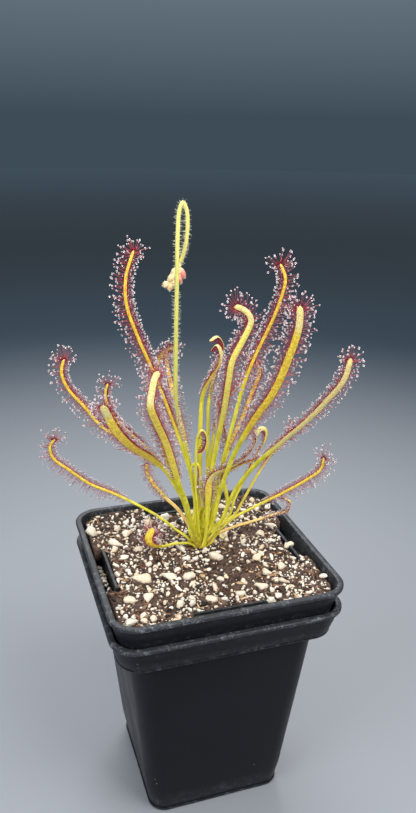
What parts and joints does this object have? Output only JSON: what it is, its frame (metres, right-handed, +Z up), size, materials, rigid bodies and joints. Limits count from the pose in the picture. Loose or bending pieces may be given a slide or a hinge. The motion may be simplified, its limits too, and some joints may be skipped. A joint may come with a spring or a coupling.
{
  "type": "potted sundew",
  "caption": "Carnivorous house plant: strap leaves with drop-tipped tentacles and a nodding flower stalk, rooted in peat and perlite in nested square nursery pots.",
  "frame": {"origin": "middle of the outer pot's underside", "axes": "+Z up, with X and Y square to the pot's sides; the most open leaves reach towards -X"},
  "size_m": [0.1054, 0.092, 0.2366],
  "materials": {
    "black_plastic": "scuffed black moulded plastic",
    "peat_and_perlite": "damp dark peat with white perlite grains",
    "withered_leaf": "dry brown leaf",
    "leaf_bases": "yellow-green overlapping leaf bases",
    "sundew_leaf": "golden green blade with red margins",
    "flower_stalk": "pale green hairy stalk",
    "flower_bud": "pale peach and pink buds",
    "tentacle": "crimson gland stalks",
    "dew": "clear sticky drops"
  },
  "bodies": {
    "root": {"outer_pot": "black_plastic", "inner_pot": "black_plastic", "soil": "peat_and_perlite", "dry_leaf": "withered_leaf", "crown": "leaf_bases", "leaf_01": "sundew_leaf", "leaf_02": "sundew_leaf", "leaf_03": "sundew_leaf", "leaf_04": "sundew_leaf", "leaf_05": "sundew_leaf", "leaf_06": "sundew_leaf", "leaf_07": "sundew_leaf", "leaf_08": "sundew_leaf", "leaf_09": "sundew_leaf", "leaf_10": "sundew_leaf", "leaf_11": "sundew_leaf", "leaf_12": "sundew_leaf", "leaf_13": "sundew_leaf", "leaf_14": "sundew_leaf", "leaf_15": "sundew_leaf", "leaf_16": "sundew_leaf", "leaf_17": "sundew_leaf", "leaf_18": "sundew_leaf", "leaf_19": "sundew_leaf", "leaf_20": "sundew_leaf", "leaf_21": "sundew_leaf", "leaf_22": "sundew_leaf", "leaf_23": "sundew_leaf", "leaf_24": "sundew_leaf", "leaf_25": "sundew_leaf", "leaf_26": "sundew_leaf", "leaf_27": "sundew_leaf", "flower_stalk": "flower_stalk", "flower_buds": "flower_bud"}
  },
  "joints": []
}
